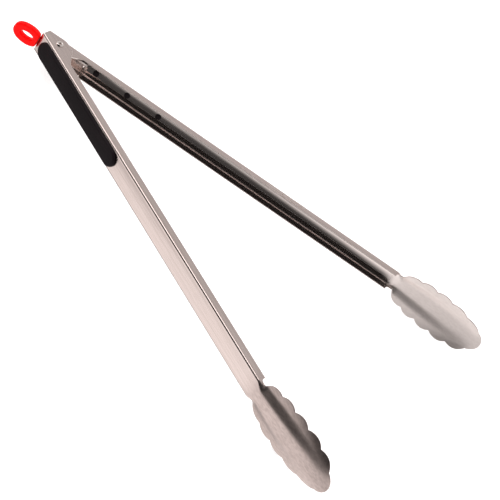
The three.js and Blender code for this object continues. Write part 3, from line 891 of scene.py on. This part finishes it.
def makeRivet(rivet):
    seat, height, head = rivet["seat"], rivet["headHeight"], rivet["headRadius"]
    profile = []
    for turn in np.linspace(*rivet["domeTurns"], domeSteps):
        rise = rivet["domeEdge"] + (1 - rivet["domeEdge"]) * math.cos(turn)
        profile.append((head * math.sin(turn), -seat - height * rise))
    shank = seat - rivet["seatEase"]
    profile += [(head, -seat), (rivet["radius"], -shank), (rivet["radius"], shank)]
    profile.append((head * rivet["rimFoot"], seat))
    for turn in np.linspace(*rivet["rimTurns"], rimSteps):
        reach = 1 - rivet["rimRoll"] + rivet["rimRoll"] * math.sin(turn)
        rise = rivet["rimEdge"] + (1 - rivet["rimEdge"]) * math.cos(turn)
        profile.append((head * reach, seat + height * rise))
    boreEnd = seat + height - rivet["boreDepth"]
    profile += [(rivet["bore"], seat + rivet["boreEdge"]), (rivet["bore"], boreEnd)]
    profile.append((nearAxis, boreEnd - rivet["boreTip"]))
    points, faces, _ = turnedPoints(profile, rivetSides)
    piece = makePiece("pivotRivetTurned", points, faces, pivotPlace, [rivetSteel], sharpAngle=45)
    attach(piece, "outer_half")
    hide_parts("pivot_rivet")


def makeSleeve(sleeve, rivet):
    half, radius, bore = sleeve["halfLength"], sleeve["radius"], rivet["radius"] + sleeve["gap"]
    section = softened([(bore, -half), (radius, -half), (radius, half), (bore, half)], sleeve["bend"])
    points, faces, _ = turnedPoints(section + [section[0]], sleeveSides)
    faces = [face for face in faces if len(face) == 4]  # a tube has no caps
    piece = makePiece("spacerSleeveTube", points, faces, pivotPlace, [lockSteel])
    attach(piece, "outer_half")
    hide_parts("spacer_sleeve")


makeRivet(rivetShape)
makeSleeve(sleeveShape, rivetShape)

springShape = {
    "wire": 1.4,
    "radius": 3.6,
    "turns": 4,
    "pitch": 1.55,
    "outerLeg": (24.0, -7.9),  # leg end in the outer arm's own frame
    "innerLeg": (21.0, 5.8),
    "tipShare": 0.8,  # of the wire's radius at its eased tips
    "tipEase": 0.12,
}
turnSteps, legSteps, wireSides = 56, 16, 14


# the wire's middle line: a leg that touches the coil, the coil, and the other leg
def springLine(spring):
    radius = spring["radius"]
    start = complex(*spring["outerLeg"]) * complex(math.cos(halfOpen), -math.sin(halfOpen))
    end = complex(*spring["innerLeg"]) * complex(math.cos(halfOpen), math.sin(halfOpen))
    reachIn = math.acos(radius / abs(start))
    reachOut = math.acos(radius / abs(end))
    angleIn = math.atan2(start.imag, start.real) % (2 * math.pi) - 2 * math.pi - reachIn
    angleOut = math.atan2(end.imag, end.real) + reachOut - 2 * math.pi * (spring["turns"] + 1)
    rise = spring["pitch"] * (angleIn - angleOut) / (2 * math.pi)
    angles = np.linspace(angleIn, angleOut, turnSteps * spring["turns"])
    heights = np.linspace(-rise / 2, rise / 2, len(angles))
    coil = np.column_stack([radius * np.cos(angles), radius * np.sin(angles), heights])
    legIn = np.linspace((start.real, start.imag, coil[0][2]), coil[0], legSteps)[:-1]
    legOut = np.linspace(coil[-1], (end.real, end.imag, coil[-1][2]), legSteps)[1:]
    return np.vstack([legIn, coil, legOut]), rise


def wirePoints(line, spring):
    radius = spring["wire"] / 2
    ways = np.gradient(line, axis=0)
    ways /= np.linalg.norm(ways, axis=1)[:, None]
    up = np.array([0.0, 0.0, 1.0])
    rings = []
    for point, way in zip(line, ways):
        side = np.cross(way, up)
        side /= np.linalg.norm(side)
        lift = np.cross(side, way)
        turns = np.linspace(0, 2 * math.pi, wireSides, endpoint=False)
        rings.append(point + radius * (np.outer(np.cos(turns), side) + np.outer(np.sin(turns), lift)))
    for index, inner in ((0, 1), (-1, -2)):
        outward = line[index] - line[inner]
        outward = outward / np.linalg.norm(outward)
        tip = line[index] + (rings[index] - line[index]) * spring["tipShare"]
        rings[index] = rings[index] - outward * spring["tipEase"]
        rings = [tip] + rings if index == 0 else rings + [tip]
    return skinRings(rings, lambda count: [tuple(range(count))])


def makeSpring(spring):
    line, rise = springLine(spring)
    points, faces, _ = wirePoints(line, spring)
    piece = makePiece("torsionSpringWire", points, faces, pivotPlace, [springSteel])
    low = pivot - Vector((0, 0, rise / 2 * mm))
    high = pivot + Vector((0, 0, rise / 2 * mm))
    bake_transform(piece)
    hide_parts("torsion_spring")


makeSpring(springShape)
print("pivot and spring made")

slideShape = {
    "halfWidth": 8.2,
    "sheet": 0.8,
    "floor": -8.6,
    "rail": 5.4,
    "foldRadius": 1.5,
    "edgeRadius": 0.15,
    "tail": -9.0,
    "nose": 28.5,
    "earStart": 13.8,
    "earRear": 2.2,
    "earTop": 1.6,
    "earShoulder": 21.5,
    "earStep": 0.02,
    "earBend": 1.5,
    "tongueHalfWidth": 4.5,
    "tongueRoot": 3.0,  # how far the tongue reaches into the tray's floor
    "tongueSlope": 4.2,
    "tongueBend": 1.5,
    "tongueHeight": -1.9,
    "tongueEnd": -20.1,
}
catchShape = {
    "halfWidth": 6.2,
    "sheet": 0.8,
    "foot": (6.0, 15.0),
    "floor": -8.6,
    "stem": (9.5, 12.8),
    "finger": (1.75, 3.35),
    "fingerEnd": 18.5,
    "edgeRadius": 0.12,
    "bend": 0.4,
}
studShape = {
    "reach": 26.0,
    "radius": 1.2,
    "head": 1.8,
    "headHeight": 0.6,
    "length": 3.3,
    "face": 8.2,
    "shoulder": 0.85,  # the slide's sheet and the gap to it
    "seatEase": 0.02,
    "crown": 0.05,
    "bend": 0.2,
}
railSteps, tongueSteps, tongueBendSteps, studSides = 9, 9, 6, 40


def makeSlide(slide):
    railTop = slide["floor"] + slide["rail"]
    start = slide["earStart"]
    rims = [(x, railTop) for x in np.linspace(slide["tail"], start, railSteps)]
    ear = [
        (start + slide["earStep"], railTop + slide["earRear"]),
        (slide["earShoulder"], slide["earTop"]),
        (slide["nose"], slide["earTop"]),
    ]
    rims += [tuple(point) for point in softened(ear, slide["earBend"])]
    rows = []
    for x, y in rims:
        half, turn = channelHalf(slide["halfWidth"], x, (x, y), slide["floor"], slide["foldRadius"])
        rows.append(sheetRow(half, turn, slide["sheet"]))
    tray = foldSheet(rows, slide["edgeRadius"])
    middle = slide["floor"] + slide["sheet"] / 2
    corners = [
        (slide["tail"] + slide["tongueRoot"], middle),
        (slide["tail"], middle),
        (slide["tail"] - slide["tongueSlope"], slide["tongueHeight"]),
        (slide["tongueEnd"], slide["tongueHeight"]),
    ]
    route = softened(corners, slide["tongueBend"], tongueBendSteps)
    across = np.linspace(-slide["tongueHalfWidth"], slide["tongueHalfWidth"], tongueSteps)
    rows = []
    for point, way in zip(route, np.gradient(np.array(route), axis=0)):
        normal = np.array([-way[1], way[0]]) / np.linalg.norm(way) * slide["sheet"] / 2
        sides = [point + normal, point - normal]
        rows.append(tuple(np.array([(x, y, z) for z in across]) for x, y in sides))
    points, faces, marks = joined(tray, foldSheet(rows, slide["edgeRadius"]))
    finishes = [lockSteel, edgeSteel, lockSteel]
    piece = makePiece("lockSlideSheet", points, faces, innerPlace, finishes, marks)
    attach(piece, "lock")
    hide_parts("lock_slide")


# a flat plate with eased edges; outline runs round it, `low` and `high` are its faces and
# `place` makes points from the flat outline and a height
def platePoints(outline, low, high, catch, place):
    radius = catch["edgeRadius"]
    outline = np.array(softened(outline + [outline[0]], catch["bend"], steps=3)[:-1])
    ways = np.roll(outline, -1, axis=0) - np.roll(outline, 1, axis=0)
    inward = np.column_stack([-ways[:, 1], ways[:, 0]]) / np.linalg.norm(ways, axis=1)[:, None]
    rings = []
    for inset, height in ((radius, low), (0, low + radius), (0, high - radius), (radius, high)):
        rings.append(place(outline + inward * inset, np.full(len(outline), height)))
    return skinRings(rings, lambda count: [tuple(range(count))])


def makeCatch(catch):
    half, sheet, floor = catch["halfWidth"], catch["sheet"], catch["floor"]
    (stemStart, stemEnd), (fingerLow, fingerHigh) = catch["stem"], catch["finger"]
    hook = [
        (stemStart, floor + sheet / 2),
        (stemEnd, floor + sheet / 2),
        (stemEnd, fingerLow),
        (catch["fingerEnd"], fingerLow),
        (catch["fingerEnd"], fingerHigh),
        (stemStart, fingerHigh),
    ]
    footStart, footEnd = catch["foot"]
    foot = [(footStart, -half), (footEnd, -half), (footEnd, half), (footStart, half)]

    def lying(flat, height):
        return np.column_stack([flat[:, 0], height, flat[:, 1]])

    def standing(flat, height):
        return np.column_stack([flat, height])

    parts = [platePoints(foot, floor, floor + sheet, catch, lying)]
    parts += [platePoints(hook, low, low + sheet, catch, standing) for low in (-half, half - sheet)]
    points, faces, _ = joined(*parts)
    piece = makePiece("lockCatchHooks", points, faces, outerPlace, [lockSteel])
    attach(piece, "outer_half")
    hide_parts("lock_catch")


def makeStud(name, node, stud, turn):
    face, radius = stud["face"], stud["radius"]
    shoulder = face - stud["shoulder"]
    corners = [
        (nearAxis, face - stud["length"]),
        (radius, face - stud["length"]),
        (radius, shoulder - stud["headHeight"]),
        (stud["head"], shoulder - stud["headHeight"]),
        (stud["head"], shoulder),
        (radius, shoulder + stud["seatEase"]),
        (radius, face),
        (nearAxis, face + stud["crown"]),
    ]
    points, faces, _ = turnedPoints(softened(corners, stud["bend"]), studSides)
    place = innerPlace @ Matrix.Translation((stud["reach"] * mm, 0, 0)) @ Matrix.Rotation(turn, 4, "X")
    piece = makePiece(name, points, faces, place, [rivetSteel])
    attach(piece, "lock")
    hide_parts(node)


makeSlide(slideShape)
makeStud("lowerStudTurned", "lower_lock_stud", studShape, 0)
makeStud("upperStudTurned", "upper_lock_stud", studShape, math.pi)

makeCatch(catchShape)
print("lock made")

studio = {
    "floorSize": 8.0,
    "floorColour": rgb(0.55, 0.54, 0.54),
    "floorRoughness": 0.8,
    "floorShine": 0.1,
    "floorGlow": 0.62,  # the floor is lit from behind too, so that shadows stay faint
    "sky": rgb(1.0, 0.97, 0.96),
    "backdrop": 1.0,  # sky as seen directly
    "above": 0.65,  # brightness that the steel mirrors from above and from below
    "below": 1.4,
    "horizon": (-0.2, 0.2),  # heights of the look between which the two meet
    "dark": 0.02,  # left over in the dark sides
    # dark sides of the room: middle, the cosines where they begin and are full, how dark
    "darkSides": [
        ((-0.14, -0.81, 0.57), 0.35, 0.75, 1.0),
        ((0.18, -0.68, -0.71), 0.93, 0.98, 0.97),
        ((-0.75, 0.3, -0.6), 0.66, 0.9, 0.85),
    ],
    # bright panel that only the steel mirrors: middle, cosines, brightness
    "panel": ((-0.46, -0.06, 0.885), 0.95, 0.985, 3.0),
    # place, aim, width, height, watts, mirrored in the steel or not
    "lights": {
        "overhead": ((0, 0.2, 2.2), (0, 0.1, 0), 3.2, 3.2, 66, False),
        "left": ((-1.6, -0.3, 0.7), (0, 0, 0), 0.9, 0.9, 6, True),
        "front": ((0.4, -1.9, 1.3), (0, 0, 0), 1.4, 1.4, 26, False),
    },
}


def makeFloor(values):
    half = values["floorSize"] / 2
    corners = [(-half, -half, 0), (half, -half, 0), (half, half, 0), (-half, half, 0)]
    mesh = bpy.data.meshes.new("studioFloor")
    mesh.from_pydata(corners, [], [(0, 1, 2, 3)])
    floor = bpy.data.objects.new("studioFloor", mesh)
    addToScene(floor)
    finish = Finish("studioFloor")
    mesh.materials.append(finish.surface({
        "Base Color": values["floorColour"],
        "Roughness": values["floorRoughness"],
        "Specular IOR Level": values["floorShine"],
        "Emission Color": rgb(1, 1, 1),
        "Emission Strength": values["floorGlow"],
    }))
    floor.visible_glossy = False


def makeSky(values):
    sky = Board(bpy.data.worlds.new("studioSky"))
    way = sky.node("ShaderNodeTexCoord", output="Generated")
    height = sky.node("ShaderNodeSeparateXYZ", {}, {"Vector": way}, "Z")

    def patch(middle, begins, full):
        wanted = {0: way, 1: Vector(middle).normalized()}
        facing = sky.node("ShaderNodeVectorMath", {"operation": "DOT_PRODUCT"}, wanted, "Value")
        return sky.step(facing, begins, full)

    upper = sky.step(height, *values["horizon"])
    lit = values["below"] + (values["above"] - values["below"]) * upper
    for middle, begins, full, depth in values["darkSides"]:
        lit = lit * (1 - depth * patch(middle, begins, full))
    middle, begins, full, brightness = values["panel"]
    lit = lit + brightness * patch(middle, begins, full)
    seen = sky.node("ShaderNodeLightPath", output="Is Camera Ray")
    strength = values["backdrop"] * seen + (1 - seen) * (lit + values["dark"])
    glow = sky.node("ShaderNodeBackground", {}, {"Color": values["sky"], "Strength": strength})
    sky.node("ShaderNodeOutputWorld", {}, {"Surface": glow})
    bpy.context.scene.world = sky.holder


def makeLights(values):
    for name, (place, aim, width, height, watts, mirrored) in values["lights"].items():
        light = bpy.data.lights.new(name, "AREA")
        light.shape = "RECTANGLE"
        light.size, light.size_y = width, height
        light.energy = watts
        lamp = bpy.data.objects.new(name, light)
        lamp.visible_glossy = mirrored
        lamp.location = place
        lamp.rotation_mode = "QUATERNION"
        lamp.rotation_quaternion = (Vector(aim) - Vector(place)).to_track_quat("-Z", "Y")
        addToScene(lamp)


makeFloor(studio)
makeSky(studio)
makeLights(studio)
bpy.context.scene.view_settings.view_transform = "Standard"
print("studio lit")
